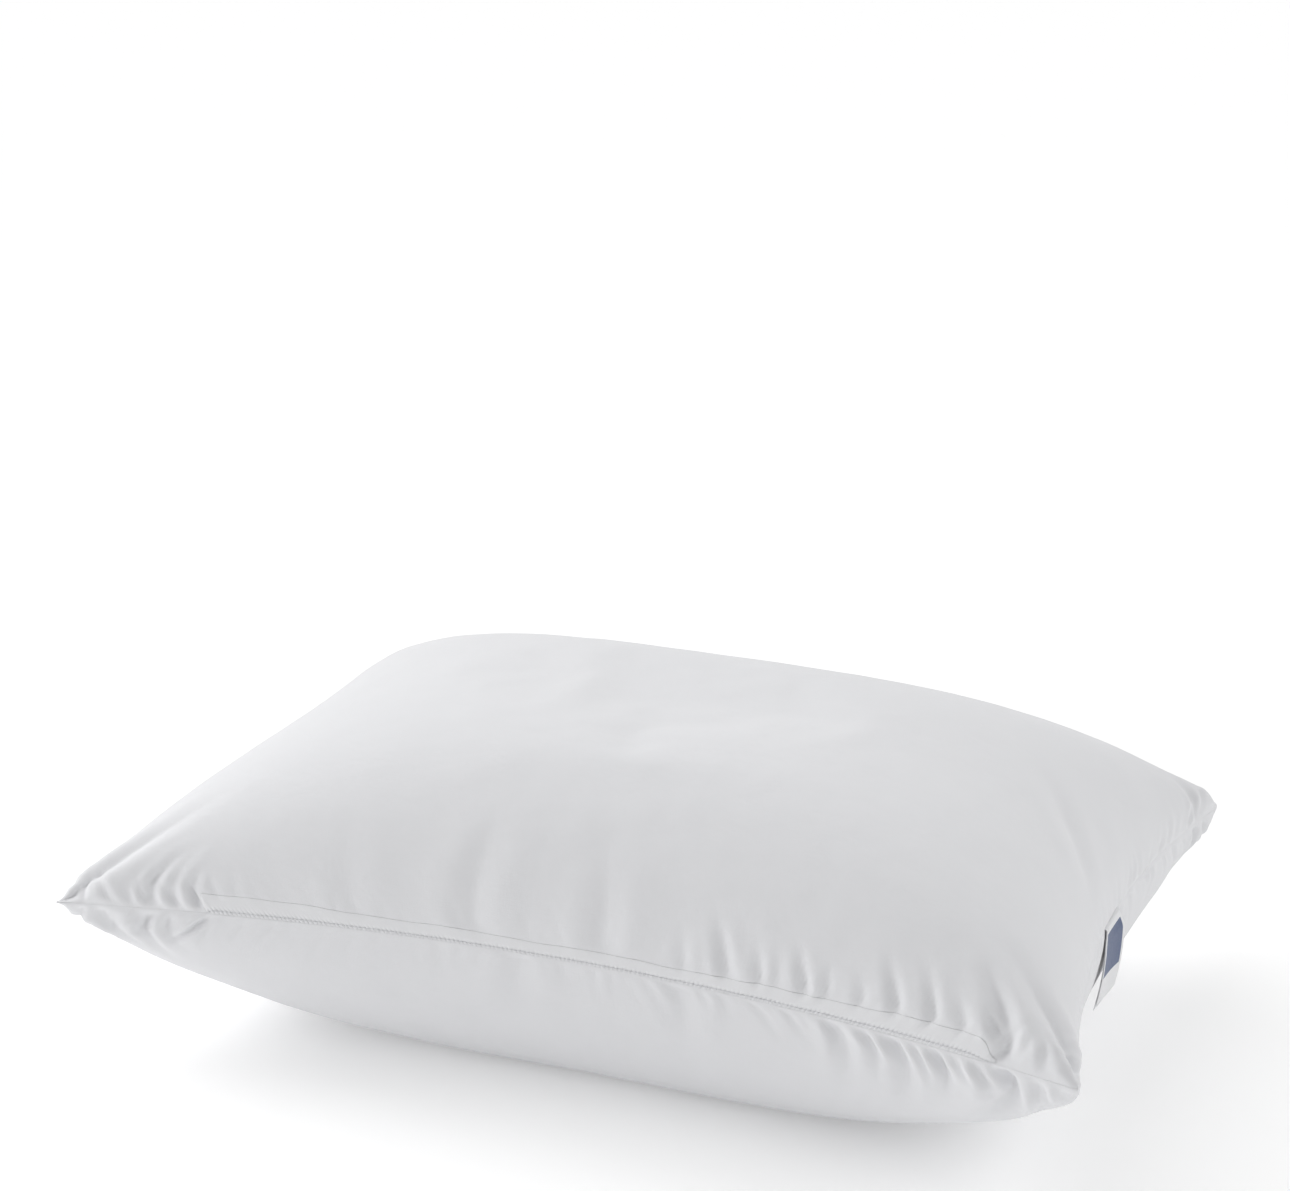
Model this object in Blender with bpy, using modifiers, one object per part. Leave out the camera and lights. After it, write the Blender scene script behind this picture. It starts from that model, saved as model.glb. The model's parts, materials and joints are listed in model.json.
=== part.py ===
"""Bed pillow: two sewn cloth panels round a mass of fibre, with a lapped closing seam and two sewn-in labels.

Units are metres and +Z is up. The origin lies on the surface that the pillow rests on, under its centre.
X runs along the long sides. The closing seam is the long side at -Y and the labels hang at +X.
"""

import math

import bmesh
import bpy
from mathutils import Vector

# Cut cloth and filled size.
CUT_LENGTH = 0.711  # each panel laid flat, seam to seam, along X
CUT_WIDTH = 0.508  # the same along Y
CORNER_TAKE_UP_X = 0.0185  # how far filling draws each corner in along X
CORNER_TAKE_UP_Y = 0.0140
PULL_IN_X = 0.034  # how far the middle of a short side sits inside its corners
PULL_IN_Y = 0.048  # how far the middle of a long side sits inside its corners
SEAM_HEIGHT = 0.109  # the seam line above the surface the pillow rests on
CROWN_HEIGHT = 0.118  # the top of the pillow above the seam line
BELLY_DEPTH = 0.129  # how deep the underside would hang below the seam if nothing flattened it
CROWN_FULLNESS = 3.0  # exponent of the outline across the top: 2 is an ellipse, more is squarer
BELLY_FULLNESS = 3.1

# Cloth and sewing.
CLOTH_THICKNESS = 0.0006
SEAM_ALLOWANCE = 0.010  # cloth turned in beyond the seam line
CLOTH_GAP = 0.0003  # between layers that touch
LAP_HEIGHT = 0.009  # the closing lap that stands up against the top panel
CLOSING_START = -0.238  # where the closing lap starts and ends, along X
CLOSING_END = 0.281
THREAD_RADIUS = 0.00025
STITCH_INSET = 0.0025  # from the fold of the seam to its line of stitches
STITCH_RISE = 0.0015  # the closing stitches above the foot of the lap
THREAD_END_GAP = 0.005  # between the end of one seam's thread and the start of the next
FILL_CLEARANCE = 0.0015  # between the fibre and the cloth round it

# Labels, hung from the short seam at +X.
MAKER_LABEL_WIDTH = 0.038
MAKER_LABEL_LENGTH = 0.057
CARE_LABEL_WIDTH = 0.034
CARE_LABEL_LENGTH = 0.061
LABEL_THICKNESS = 0.0005
LABEL_CENTRE_Y = 0.008  # middle of both labels along the short seam
LABEL_STANDOFF = 0.0020  # from the seam line to the axis that the labels turn on

# How finely the soft forms are divided.
GRID_X = 28
GRID_Y = 20
STITCH_SPACING = 0.022  # between the points of a thread's path
THREAD_CORNER_STEPS = 5

HALF_LENGTH = CUT_LENGTH / 2 - CORNER_TAKE_UP_X
HALF_WIDTH = CUT_WIDTH / 2 - CORNER_TAKE_UP_Y
TURNED_IN = 1.0  # marks on a rim vertex: turned in, or standing up as the closing lap
LAPPED = 2.0


def plan_point(u, v, inset=0.0):
    """The outline's plan at u, v in -1..1, drawn in by inset from the corners and sides alike."""
    u *= 1 - inset / HALF_LENGTH
    v *= 1 - inset / HALF_WIDTH
    x = u * (HALF_LENGTH - PULL_IN_X * (1 - v * v))
    y = v * (HALF_WIDTH - PULL_IN_Y * (1 - u * u))
    return x, y


def fullness(u, v, exponent):
    """How full the pillow is at u, v: 1 in the middle and 0 on the seam, which it meets upright."""
    across = max(0.0, 1 - abs(u) ** exponent)
    along = max(0.0, 1 - abs(v) ** exponent)
    return math.sqrt(across * along)


def seam_u(x):
    """The u of a point on a long side from its X."""
    return x / HALF_LENGTH


def lap_step(u, v):
    """How far the lower panel stands out past the upper one along the closing seam."""
    start, end = seam_u(CLOSING_START), seam_u(CLOSING_END)
    beyond = max(0.0, start - u, u - end)
    room = 1 - max(abs(start), abs(end))
    along = max(0.0, 1 - beyond / room)
    return (CLOTH_THICKNESS + CLOTH_GAP) * along * max(0.0, -v) ** 4


def crown_point(u, v):
    """A point of the upper panel's outer face."""
    x, y = plan_point(u, v)
    return Vector((x, y, SEAM_HEIGHT + CLOTH_GAP / 2 + CROWN_HEIGHT * fullness(u, v, CROWN_FULLNESS)))


def belly_point(u, v):
    """A point of the lower panel's outer face, flat where the pillow rests."""
    x, y = plan_point(u, v)
    hang = SEAM_HEIGHT - CLOTH_GAP / 2 - BELLY_DEPTH * fullness(u, v, BELLY_FULLNESS)
    return Vector((x, y - lap_step(u, v), max(0.0, hang)))


def new_object(name, mesh_or_curve, material):
    """Links a new object with its own material into the pillow's collection."""
    mesh_or_curve.materials.append(material)
    item = bpy.data.objects.new(name, mesh_or_curve)
    bpy.data.collections["bed_pillow"].objects.link(item)
    return item


def new_material(name, colour, roughness):
    """A plain finish with the Principled shader."""
    material = bpy.data.materials.new(name)
    material.use_nodes = True
    shader = material.node_tree.nodes["Principled BSDF"]
    shader.inputs["Base Color"].default_value = (*colour, 1.0)
    shader.inputs["Roughness"].default_value = roughness
    shader.inputs["Metallic"].default_value = 0.0
    return material


def cloth_material(name):
    """Brushed white microfibre."""
    return new_material(name, (0.80, 0.81, 0.84), 0.85)


def thread_material(name):
    """White polyester sewing thread."""
    return new_material(name, (0.86, 0.86, 0.88), 0.5)


def parameter_grid():
    """A grid over -1..1 whose lines crowd towards its edges, where the soft forms curve most."""
    bm = bmesh.new()
    bmesh.ops.create_grid(bm, x_segments=GRID_X, y_segments=GRID_Y, size=1.0)
    for vert in bm.verts:
        vert.co.x = math.sin(math.pi / 2 * vert.co.x)
        vert.co.y = math.sin(math.pi / 2 * vert.co.y)
    return bm


def is_closing_edge(edge):
    """Whether a rim edge lies in the closing stretch of the front side."""
    start, end = seam_u(CLOSING_START), seam_u(CLOSING_END)
    return all(vert.co.y < -0.9999 and start <= vert.co.x <= end for vert in edge.verts)


def add_rim(bm, edges, mark):
    """Extrudes rim edges in the parameter grid and marks the new vertices in their third coordinate."""
    made = bmesh.ops.extrude_edge_only(bm, edges=edges)["geom"]
    for item in made:
        if isinstance(item, bmesh.types.BMVert):
            item.co.z = mark


def face_outwards(bm, upwards):
    """Turns every face so that the form's middle faces up or down, as upwards says."""
    bmesh.ops.recalc_face_normals(bm, faces=bm.faces)
    middle = min(bm.faces, key=lambda face: face.calc_center_median().xy.length_squared)
    if (middle.normal.z > 0) != upwards:
        bmesh.ops.reverse_faces(bm, faces=bm.faces)


def add_panel(name, point, side, lapped):
    """A cloth panel: its outer face, the allowance turned in and, on one, the closing lap."""
    bm = parameter_grid()
    rim = [edge for edge in bm.edges if edge.is_boundary]
    closing = [edge for edge in rim if lapped and is_closing_edge(edge)]
    if closing:
        add_rim(bm, closing, LAPPED)
    add_rim(bm, [edge for edge in rim if edge not in closing], TURNED_IN)
    for vert in bm.verts:
        u, v, mark = vert.co
        if mark == TURNED_IN:
            x, y = plan_point(u, v, SEAM_ALLOWANCE)
            vert.co = (x, y, SEAM_HEIGHT + side * CLOTH_GAP / 2)
        elif mark == LAPPED:
            foot = point(u, v)
            vert.co = (foot.x, foot.y, SEAM_HEIGHT + LAP_HEIGHT)
        else:
            vert.co = point(u, v)
    face_outwards(bm, side > 0)
    mesh = bpy.data.meshes.new(name)
    bm.to_mesh(mesh)
    bm.free()
    mesh.shade_smooth()
    panel = new_object(name, mesh, cloth_material(name))
    shell = panel.modifiers.new("cloth thickness", "SOLIDIFY")
    shell.thickness = CLOTH_THICKNESS
    shell.offset = -1.0
    shell.use_even_offset = False
    return panel


def add_fibre_fill():
    """The fibre, one soft closed form that follows the panels from inside and stays clear of the seams."""
    inset = SEAM_ALLOWANCE + 2 * FILL_CLEARANCE
    skin = CLOTH_THICKNESS + FILL_CLEARANCE
    bm = parameter_grid()
    under = bmesh.ops.duplicate(bm, geom=bm.verts[:] + bm.edges[:] + bm.faces[:])["geom"]
    lower = {item for item in under if isinstance(item, bmesh.types.BMVert)}
    for vert in bm.verts:
        u, v = vert.co.xy
        x, y = plan_point(u, v, inset)
        if vert in lower:
            z = max(skin, SEAM_HEIGHT - (BELLY_DEPTH - skin) * fullness(u, v, BELLY_FULLNESS))
        else:
            z = SEAM_HEIGHT + (CROWN_HEIGHT - skin) * fullness(u, v, CROWN_FULLNESS)
        vert.co = (x, y, z)
    bmesh.ops.remove_doubles(bm, verts=bm.verts, dist=0.00001)
    bmesh.ops.recalc_face_normals(bm, faces=bm.faces)
    mesh = bpy.data.meshes.new("fibre_fill")
    bm.to_mesh(mesh)
    bm.free()
    mesh.shade_smooth()
    return new_object("fibre_fill", mesh, new_material("fibre_fill", (0.9, 0.9, 0.9), 1.0))


def add_thread(name, points):
    """A line of thread through the given points."""
    curve = bpy.data.curves.new(name, "CURVE")
    curve.dimensions = "3D"
    curve.bevel_depth = THREAD_RADIUS
    curve.bevel_resolution = 1
    curve.use_fill_caps = True
    spline = curve.splines.new("POLY")
    spline.points.add(len(points) - 1)
    for target, point in zip(spline.points, points):
        target.co = (*point, 1.0)
    return new_object(name, curve, thread_material(name))


def seam_run(start, end, inset):
    """Evenly spaced u, v pairs from start to end, both ends included."""
    length = math.dist(plan_point(*start, inset), plan_point(*end, inset))
    steps = max(2, round(length / STITCH_SPACING))
    for step in range(steps + 1):
        share = step / steps
        yield tuple(a + (b - a) * share for a, b in zip(start, end))


def perimeter_path(height):
    """The stitch line round the three sides sewn first and back along both ends of the fourth."""
    round_off = 3 * STITCH_INSET
    ru, rv = round_off / HALF_LENGTH, round_off / HALF_WIDTH
    start, end = seam_u(CLOSING_START - THREAD_END_GAP), seam_u(CLOSING_END + THREAD_END_GAP)
    corners = [(1, -1, -90), (1, 1, 0), (-1, 1, 90), (-1, -1, 180)]
    route = [(end, -1.0)]
    for cu, cv, first_angle in corners:
        turn = []
        for step in range(THREAD_CORNER_STEPS + 1):
            angle = math.radians(first_angle + 90 * step / THREAD_CORNER_STEPS)
            turn.append((cu * (1 - ru) + ru * math.cos(angle), cv * (1 - rv) + rv * math.sin(angle)))
        route += list(seam_run(route[-1], turn[0], STITCH_INSET))[1:] + turn[1:]
    route += list(seam_run(route[-1], (start, -1.0), STITCH_INSET))[1:]
    return [(*plan_point(u, v, STITCH_INSET), height) for u, v in route]


def closing_path(outward, height):
    """The stitch line along the closing seam, outward of the upper panel's fold."""
    start, end = seam_u(CLOSING_START), seam_u(CLOSING_END)
    points = []
    for u, v in seam_run((start, -1.0), (end, -1.0), 0.0):
        x, y = plan_point(u, v)
        points.append((x, y - outward, height))
    return points


def add_seam_threads():
    """Needle and bobbin thread of both seams, each on its own face of the cloth."""
    off_cloth = CLOTH_GAP + THREAD_RADIUS
    above_allowance = CLOTH_GAP / 2 + CLOTH_THICKNESS + off_cloth
    lapped = CLOTH_THICKNESS + CLOTH_GAP
    add_thread("perimeter_needle_thread", perimeter_path(SEAM_HEIGHT + above_allowance))
    add_thread("perimeter_bobbin_thread", perimeter_path(SEAM_HEIGHT - above_allowance))
    rise = SEAM_HEIGHT + max(STITCH_RISE, above_allowance)
    add_thread("closing_needle_thread", closing_path(lapped + off_cloth, rise))
    add_thread("closing_bobbin_thread", closing_path(-STITCH_INSET, rise))


def label_axis():
    """The point in the middle of the labels' fold and the turn about Z that lays it along the seam."""
    v = LABEL_CENTRE_Y / HALF_WIDTH
    x = HALF_LENGTH - PULL_IN_X * (1 - v * v)
    turn = -math.atan2(2 * PULL_IN_X * v / HALF_WIDTH, 1.0)
    away = Vector((math.cos(turn), math.sin(turn), 0.0)) * LABEL_STANDOFF
    return Vector((x, LABEL_CENTRE_Y, SEAM_HEIGHT)) + away, turn


def add_label(name, width, length, layer, colour, hinge):
    """A flat woven tape that hangs from the fold. layer is -1 for the inner tape and 1 for the outer."""
    bm = bmesh.new()
    bmesh.ops.create_cube(bm, size=1.0)
    bmesh.ops.scale(bm, vec=(LABEL_THICKNESS, width, length), verts=bm.verts)
    offset = layer * (LABEL_THICKNESS + CLOTH_GAP) / 2
    bmesh.ops.translate(bm, vec=(offset, 0.0, -length / 2), verts=bm.verts)
    mesh = bpy.data.meshes.new(name)
    bm.to_mesh(mesh)
    bm.free()
    label = new_object(name, mesh, new_material(name, colour, 0.55))
    label.parent = hinge
    return label


def add_labels():
    """Both labels on the line that they swing about."""
    hinge = bpy.data.objects.new("label_fold", None)
    bpy.data.collections["bed_pillow"].objects.link(hinge)
    hinge.location, hinge.rotation_euler.z = label_axis()
    add_label("maker_label", MAKER_LABEL_WIDTH, MAKER_LABEL_LENGTH, 1, (0.85, 0.85, 0.86), hinge)
    add_label("care_label", CARE_LABEL_WIDTH, CARE_LABEL_LENGTH, -1, (0.88, 0.88, 0.87), hinge)


def clear_scene():
    """Removes what the scene starts with."""
    for item in list(bpy.data.objects):
        bpy.data.objects.remove(item, do_unlink=True)


def main():
    clear_scene()
    parts = bpy.data.collections.new("bed_pillow")
    bpy.context.scene.collection.children.link(parts)
    add_panel("shell_top_panel", crown_point, 1, lapped=False)
    add_panel("shell_bottom_panel", belly_point, -1, lapped=True)
    add_fibre_fill()
    add_seam_threads()
    add_labels()
    bpy.context.view_layer.update()


main()
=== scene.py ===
"""Bed pillow: its sewn cloth, closing lap, stitches, fibre and labels, with a plain studio round it.

Units are metres and +Z is up. Places and overall sizes come from the loaded frame. Cloth coordinates
are metres on the panel laid flat, from its middle: x along the long sides, y away from the closing seam.
"""

import json
import logging
import math
from dataclasses import dataclass, field
from enum import Enum

import bpy
import numpy as np
from mathutils import Matrix, Vector


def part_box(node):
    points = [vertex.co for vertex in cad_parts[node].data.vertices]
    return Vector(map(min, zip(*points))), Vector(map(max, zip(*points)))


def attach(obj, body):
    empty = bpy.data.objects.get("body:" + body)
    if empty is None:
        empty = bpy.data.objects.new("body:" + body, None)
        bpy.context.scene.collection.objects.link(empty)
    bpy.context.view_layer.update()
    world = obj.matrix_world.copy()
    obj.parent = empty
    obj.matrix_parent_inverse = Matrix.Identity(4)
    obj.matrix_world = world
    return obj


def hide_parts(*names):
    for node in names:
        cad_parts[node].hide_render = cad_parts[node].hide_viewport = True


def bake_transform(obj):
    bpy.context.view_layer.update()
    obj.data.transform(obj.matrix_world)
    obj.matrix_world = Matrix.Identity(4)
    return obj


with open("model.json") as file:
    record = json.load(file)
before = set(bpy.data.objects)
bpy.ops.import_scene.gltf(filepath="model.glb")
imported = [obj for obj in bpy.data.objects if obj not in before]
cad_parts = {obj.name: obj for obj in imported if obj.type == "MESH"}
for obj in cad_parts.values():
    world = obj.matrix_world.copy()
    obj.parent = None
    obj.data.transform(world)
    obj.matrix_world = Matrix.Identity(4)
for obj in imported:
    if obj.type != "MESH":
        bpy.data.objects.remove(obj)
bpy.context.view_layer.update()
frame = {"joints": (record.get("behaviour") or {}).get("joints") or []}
LOG = logging.getLogger("bed_pillow")


class Panel(Enum):
    """The two cut cloths of the shell."""

    TOP = 1
    BOTTOM = -1


class Taper(Enum):
    """How a fold runs out along its length."""

    FROM_SEAM = "deepest where it starts"
    BOTH_ENDS = "deepest in its middle"


def smooth_step(value: np.ndarray) -> np.ndarray:
    """Rises smoothly from 0 to 1 as value does, and stays there outside."""
    value = np.clip(value, 0.0, 1.0)
    return value * value * (3.0 - 2.0 * value)


def unit(vectors: np.ndarray) -> np.ndarray:
    """The vectors of the last axis at length one."""
    return vectors / np.maximum(np.linalg.norm(vectors, axis=-1, keepdims=True), 1e-9)


# ---------------------------------------------------------------- form of the filled pillow


@dataclass(frozen=True)
class CutCloth:
    """One shell panel as it is cut, seam to seam, and its cloth."""

    length: float = 0.711
    width: float = 0.508
    thickness: float = 0.00025
    allowance: float = 0.009

    def seam_distance(self, flat: np.ndarray) -> np.ndarray:
        """How far each cloth coordinate lies from the nearest seam."""
        ends = self.length / 2 - np.abs(flat[..., 0])
        sides = self.width / 2 - np.abs(flat[..., 1])
        return np.minimum(ends, sides)


@dataclass(frozen=True)
class PillowForm:
    """The smooth outer form: an outline pulled in between its corners, crowned above and below."""

    half_length: float
    half_width: float
    seam_height: float
    crown_height: float
    pull_in_x: float = 0.034
    pull_in_y: float = 0.048
    belly_depth: float = 0.129
    crown_fullness: float = 3.0
    belly_fullness: float = 3.1
    rest_gap: float = 0.0006

    @classmethod
    def from_frame(cls) -> "PillowForm":
        """The form with its overall sizes taken from the shell's own box.

        Returns:
            The form that the frame's shell holds.
        """
        low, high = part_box("shell_top_panel")
        return cls(
            half_length=(high.x - low.x) / 2,
            half_width=(high.y - low.y) / 2,
            seam_height=low.z,
            crown_height=high.z - low.z,
        )

    def rise(self, panel: Panel) -> float:
        """How far a panel's middle stands from the seam plane."""
        return self.crown_height if panel is Panel.TOP else self.belly_depth

    def fullness(self, panel: Panel) -> float:
        """A panel's outline exponent: 2 is an ellipse and more is squarer."""
        return self.crown_fullness if panel is Panel.TOP else self.belly_fullness

    def even_lines(self, panel: Panel, reach: float, count: int) -> np.ndarray:
        """Form parameters that divide a mid section into equal lengths of cloth.

        Args:
            panel: The panel that the section runs over.
            reach: Half the section's width.
            count: How many cells it has.

        Returns:
            count + 1 parameters from -1 to 1.
        """
        trial = np.sin(np.linspace(-math.pi / 2, math.pi / 2, 2001))
        height = self.rise(panel) * np.sqrt(np.maximum(0.0, 1 - np.abs(trial) ** self.fullness(panel)))
        steps = np.hypot(np.diff(trial * reach), np.diff(height))
        along = np.concatenate([[0.0], np.cumsum(steps)])
        return np.interp(np.linspace(0.0, along[-1], count + 1), along, trial)

    def points(self, panel: Panel, cells: tuple[int, int]) -> np.ndarray:
        """The panel's outer face on an even grid of cloth.

        Args:
            panel: Which panel.
            cells: Cells along the length and across the width.

        Returns:
            Points of shape (cells[0] + 1, cells[1] + 1, 3).
        """
        power = self.fullness(panel)
        flat_u, flat_v = np.meshgrid(*(np.linspace(-1, 1, count + 1) for count in cells), indexing="ij")
        full_u = np.sqrt(np.maximum(0.0, 1 - np.abs(flat_u) ** power))
        full_v = np.sqrt(np.maximum(0.0, 1 - np.abs(flat_v) ** power))
        arc_u = self.even_lines(panel, self.half_length - self.pull_in_x, cells[0])[:, None]
        arc_v = self.even_lines(panel, self.half_width - self.pull_in_y, cells[1])[None, :]
        u = arc_u * full_v + flat_u * (1 - full_v)
        v = arc_v * full_u + flat_v * (1 - full_u)
        x = u * (self.half_length - self.pull_in_x * (1 - v * v))
        y = v * (self.half_width - self.pull_in_y * (1 - u * u))
        share = np.sqrt(np.maximum(0.0, (1 - np.abs(u) ** power) * (1 - np.abs(v) ** power)))
        z = self.seam_height + panel.value * self.rise(panel) * share
        return np.stack([x, y, np.maximum(z, self.rest_gap)], axis=-1)


# ---------------------------------------------------------------- filling the sewn bag


@dataclass
class FilledBag:
    """Both panels sewn along their rims and filled to a volume, with the flat cuts as rest shape."""

    form: PillowForm
    cloth: CutCloth
    cells: tuple[int, int] = (90, 64)
    frames: int = 30
    fill_volume: float = 0.0425
    fill_firmness: float = 20.0
    corner_reach: float = 0.12
    corner_fill: float = 0.6
    most_movement: float = 0.018
    support_height: float = -0.0042
    side_bulge: float = 0.0105
    side_bulge_reach: float = 0.150
    wrinkle_start: float = 0.0006
    wrinkle_seed: int = 4

    def sewn_indices(self) -> tuple[np.ndarray, np.ndarray]:
        """Vertex numbers of both grids, which share their rim.

        Returns:
            The top grid's and the bottom grid's vertex numbers.
        """
        shape = (self.cells[0] + 1, self.cells[1] + 1)
        top = np.arange(shape[0] * shape[1]).reshape(shape)
        bottom = top.copy()
        inner = bottom[1:-1, 1:-1]
        inner[...] = top.size + np.arange(inner.size).reshape(inner.shape)
        return top, bottom

    def start(self) -> dict[Panel, np.ndarray]:
        """The smooth form with slight seeded unevenness, both rims alike.

        Returns:
            Grid points by panel.
        """
        random = np.random.default_rng(self.wrinkle_seed)
        grids = {}
        for panel in Panel:
            grid = self.form.points(panel, self.cells)
            rough = random.normal(size=grid.shape[:2])
            for _ in range(2):
                around = rough[:-2, 1:-1] + rough[2:, 1:-1] + rough[1:-1, :-2] + rough[1:-1, 2:]
                rough[1:-1, 1:-1] = (2 * rough[1:-1, 1:-1] + around) / 6
            outward = unit(grid - np.array([0.0, 0.0, self.form.seam_height]))
            inside = np.zeros(grid.shape[:2])
            inside[1:-1, 1:-1] = self.wrinkle_start
            grid = grid + outward * (rough * inside)[..., None]
            grid[..., 2] = np.maximum(grid[..., 2], self.form.rest_gap)
            grids[panel] = grid
        return grids

    def build_bag(self, grids: dict[Panel, np.ndarray]) -> bpy.types.Object:
        """One closed mesh of both grids, with the flat cuts as a second shape.

        Args:
            grids: The start points by panel.

        Returns:
            The bag, ready for the cloth solver.
        """
        top, bottom = self.sewn_indices()
        shape = top.shape
        half = np.array([self.cloth.length / 2, self.cloth.width / 2])
        u, v = np.meshgrid(np.linspace(-1, 1, shape[0]), np.linspace(-1, 1, shape[1]), indexing="ij")
        flat = np.stack([u * half[0], v * half[1], 0 * u], axis=-1)
        count = int(bottom.max()) + 1
        points, rest = np.empty((count, 3)), np.empty((count, 3))
        for indices, panel in ((bottom, Panel.BOTTOM), (top, Panel.TOP)):
            points[indices], rest[indices] = grids[panel], flat
        mesh = bpy.data.meshes.new("bag")
        faces = np.concatenate([grid_quads(top), grid_quads(bottom)[:, ::-1]])
        mesh.from_pydata(points.tolist(), [], faces.tolist())
        bag = bpy.data.objects.new("bag", mesh)
        bpy.context.scene.collection.objects.link(bag)
        bag.shape_key_add(name="Basis")
        bag.shape_key_add(name="flat_cut").data.foreach_set("co", rest.astype(np.float32).ravel())
        self.weigh_corners(bag, rest, half)
        return bag

    def weigh_corners(self, bag: bpy.types.Object, rest: np.ndarray, half: np.ndarray) -> None:
        """Gives the corners less fill than the middle, and marks the rim, which stays on its outline.

        Args:
            bag: The sewn mesh.
            rest: Its flat coordinates.
            half: Half the cut's sizes.
        """
        away = np.hypot(*(half[axis] - np.abs(rest[:, axis]) for axis in (0, 1)))
        weights = self.corner_fill + (1 - self.corner_fill) * smooth_step(away / self.corner_reach)
        group = bag.vertex_groups.new(name="fill")
        for index, weight in enumerate(weights):
            group.add([index], float(weight), "REPLACE")
        on_rim = np.any(np.abs(np.abs(rest[:, :2]) - half) < 1e-6, axis=1)
        bag.vertex_groups.new(name="sewn_rim").add(np.flatnonzero(on_rim).tolist(), 1.0, "REPLACE")

    def set_cloth(self, bag: bpy.types.Object) -> None:
        """Adds the cloth solver: stiff along the threads, soft to bend, pushed out by the fill.

        Args:
            bag: The sewn mesh.
        """
        solver = bag.modifiers.new("fill the bag", "CLOTH")
        cloth = solver.settings
        cloth.rest_shape_key = bag.data.shape_keys.key_blocks["flat_cut"]
        cloth.quality, cloth.time_scale, cloth.mass = 6, 1.5, 0.02
        cloth.bending_model = "ANGULAR"
        cloth.tension_stiffness, cloth.compression_stiffness, cloth.shear_stiffness = 70.0, 14.0, 6.0
        cloth.tension_damping = cloth.compression_damping = cloth.shear_damping = 5.0
        cloth.bending_stiffness, cloth.bending_damping = 0.5, 0.5
        cloth.use_pressure = cloth.use_pressure_volume = True
        cloth.uniform_pressure_force = 0.0
        cloth.target_volume, cloth.pressure_factor = self.fill_volume, self.fill_firmness
        cloth.vertex_group_pressure = "fill"
        cloth.vertex_group_mass, cloth.pin_stiffness = "sewn_rim", 40.0
        cloth.effector_weights.gravity = 0.01
        solver.collision_settings.use_collision = True
        solver.collision_settings.distance_min = 0.002
        solver.point_cache.frame_start, solver.point_cache.frame_end = 1, self.frames

    def fill(self) -> dict[Panel, np.ndarray]:
        """Runs the solver over a surface to lie on, and caps how far a point may move.

        Returns:
            Grid points by panel after filling.
        """
        grids = self.start()
        bag = self.build_bag(grids)
        self.set_cloth(bag)
        bpy.ops.mesh.primitive_plane_add(size=3.0, location=(0.0, 0.0, self.support_height))
        support = bpy.context.object
        support.modifiers.new("support", "COLLISION")
        support.collision.thickness_outer = 0.002
        scene = bpy.context.scene
        for step in range(1, self.frames + 1):
            scene.frame_set(step)
        settled = bag.evaluated_get(bpy.context.evaluated_depsgraph_get()).to_mesh()
        points = np.empty(len(settled.vertices) * 3, np.float32)
        settled.vertices.foreach_get("co", points)
        points = points.reshape(-1, 3).astype(float)
        for panel, indices in zip((Panel.TOP, Panel.BOTTOM), self.sewn_indices()):
            moved = points[indices] - grids[panel]
            far = np.linalg.norm(moved, axis=-1, keepdims=True)
            grids[panel] = grids[panel] + moved * np.minimum(1, self.most_movement / np.maximum(far, 1e-9))
        for helper in (bag, support):
            bpy.data.objects.remove(helper, do_unlink=True)
        scene.frame_set(1)
        return self.bulge_sides(grids)

    def bulge_sides(self, grids: dict[Panel, np.ndarray]) -> dict[Panel, np.ndarray]:
        """Lets the fibre push the short sides out below their seams, and sets the belly down to rest.

        Args:
            grids: Grid points by panel.

        Returns:
            The same with a fuller underside at both ends.
        """
        grid = grids[Panel.BOTTOM]
        u = np.linspace(-1, 1, grid.shape[0])[:, None]
        v = np.linspace(-1, 1, grid.shape[1])[None, :]
        from_seam = (1 - np.abs(u)) * self.cloth.length / 2
        swell = np.sin(np.clip(from_seam / self.side_bulge_reach, 0, 1) * math.pi) ** 3 * (1 - v**2)
        grid[..., 0] += np.sign(u) * self.side_bulge * swell
        seam, lowest = self.form.seam_height, float(grid[..., 2].min())
        depth = np.clip((seam - grid[..., 2]) / (seam - lowest), 0, 1)
        grid[..., 2] -= (lowest - self.form.rest_gap) * depth**2
        return grids


# ---------------------------------------------------------------- fine cloth


def grid_quads(indices: np.ndarray) -> np.ndarray:
    """Quads of a grid of vertex numbers, facing up where the first axis is x and the second y.

    Args:
        indices: Vertex numbers in two axes.

    Returns:
        One row of four vertex numbers a cell.
    """
    corners = (indices[:-1, :-1], indices[1:, :-1], indices[1:, 1:], indices[:-1, 1:])
    return np.stack([corner.ravel() for corner in corners], axis=1)


def read_at(places: np.ndarray, lines: np.ndarray, values: np.ndarray) -> np.ndarray:
    """Reads rows of three numbers between given lines.

    Args:
        places: Where to read.
        lines: Where the rows lie, rising.
        values: One row a line.

    Returns:
        One row for each place.
    """
    return np.stack([np.interp(places, lines, values[:, axis]) for axis in range(3)], axis=-1)


def spline_weights(count: int, where: np.ndarray) -> np.ndarray:
    """Weights that read a smooth curve through evenly spaced control points.

    Args:
        count: How many control points there are.
        where: Places along them, from 0 to 1.

    Returns:
        One row of weights for each place.
    """
    t = where * (count - 1)
    cell = np.clip(np.floor(t).astype(int), 0, count - 2)
    f = t - cell
    parts = ((1 - f) ** 3, 3 * f**3 - 6 * f**2 + 4, -3 * f**3 + 3 * f**2 + 3 * f + 1, f**3)
    padded = np.zeros((len(where), count + 2))
    for offset, part in enumerate(parts):
        padded[np.arange(len(where)), cell + offset] += part / 6
    weights = padded[:, 1:-1].copy()
    for end, inner, beyond in ((0, 1, padded[:, 0]), (-1, -2, padded[:, -1])):
        weights[:, end] += 2 * beyond
        weights[:, inner] -= beyond
    return weights


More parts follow.
